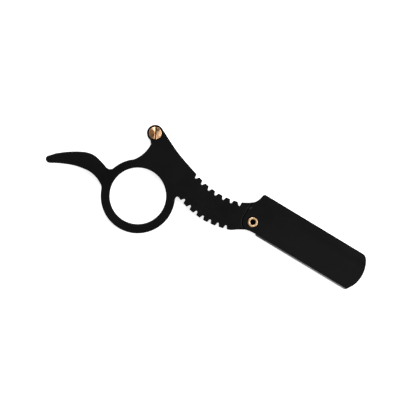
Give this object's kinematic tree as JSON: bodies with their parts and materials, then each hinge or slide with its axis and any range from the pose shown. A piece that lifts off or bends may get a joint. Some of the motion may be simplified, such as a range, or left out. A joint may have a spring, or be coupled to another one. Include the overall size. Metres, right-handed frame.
{
  "type": "finger ring razor",
  "caption": "Flat straight razor with a finger ring and tang, a notched neck, a swing-out rear arm and a swivelling front jaw that clamp a half-width blade.",
  "frame": {"origin": "on the pivot screw's axis, at the rear face of the pivot nut, which is the lowest face when the razor lies flat", "axes": "+X along the cutting edge from heel to tip, +Y towards the spine, +Z out of the front face"},
  "size_m": [0.1341, 0.0439, 0.0055],
  "materials": {
    "coated_steel": "satin black coating on stamped steel, fine even grain",
    "rose_brass": "turned and polished rose-gold brass",
    "bronze": "plain thin bronze sheet",
    "blade_steel": "ground and honed thin stainless blade",
    "pin_steel": "turned stainless pin"
  },
  "bodies": {
    "frame": {"frame_plate": "coated_steel", "pivot_nut": "rose_brass", "pivot_washer": "bronze", "pivot_screw": "rose_brass", "hollow_rivet": "rose_brass"},
    "rear_arm": {"rear_arm": "coated_steel", "blade": "blade_steel", "heel_pin": "pin_steel", "tip_pin": "pin_steel"},
    "front_jaw": {"front_jaw": "coated_steel"}
  },
  "joints": [
    {"name": "arm_swing", "type": "hinge", "parent": "frame", "child": "rear_arm", "pos_m": [0, 0, 0.0014], "axis": [0, 0, 1], "range_deg": [0, 90]},
    {"name": "jaw_swivel", "type": "hinge", "parent": "frame", "child": "front_jaw", "pos_m": [0.05235, -0.01043, 0.0039], "axis": [0, 0, -1], "range_deg": [0, 50]}
  ]
}
